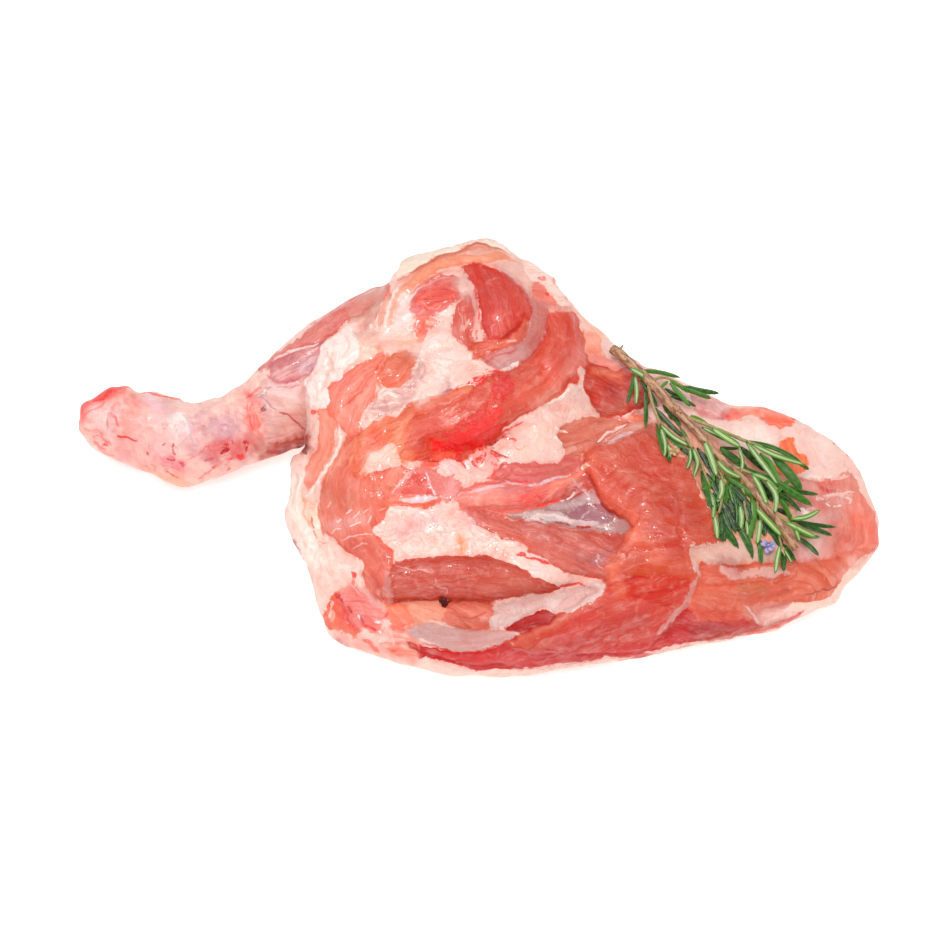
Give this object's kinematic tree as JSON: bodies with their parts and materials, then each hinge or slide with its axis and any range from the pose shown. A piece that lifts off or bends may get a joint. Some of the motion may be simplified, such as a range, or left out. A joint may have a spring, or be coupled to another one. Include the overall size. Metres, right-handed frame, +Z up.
{
  "type": "raw lamb shoulder",
  "caption": "Raw bone-in lamb shoulder with its fore shank, lying inner side up, with a rosemary sprig laid over the blade.",
  "frame": {"origin": "on the surface that it rests on, under the middle of the bounding box", "axes": "+X from the shank to the blade end, +Y away from the viewer to the elbow, +Z up"},
  "size_m": [0.4032, 0.238, 0.085],
  "materials": {
    "lamb": "moist",
    "rosemary": "satin"
  },
  "bodies": {
    "root": {"lamb_shoulder": "lamb", "rosemary_sprig": "rosemary"}
  },
  "joints": []
}
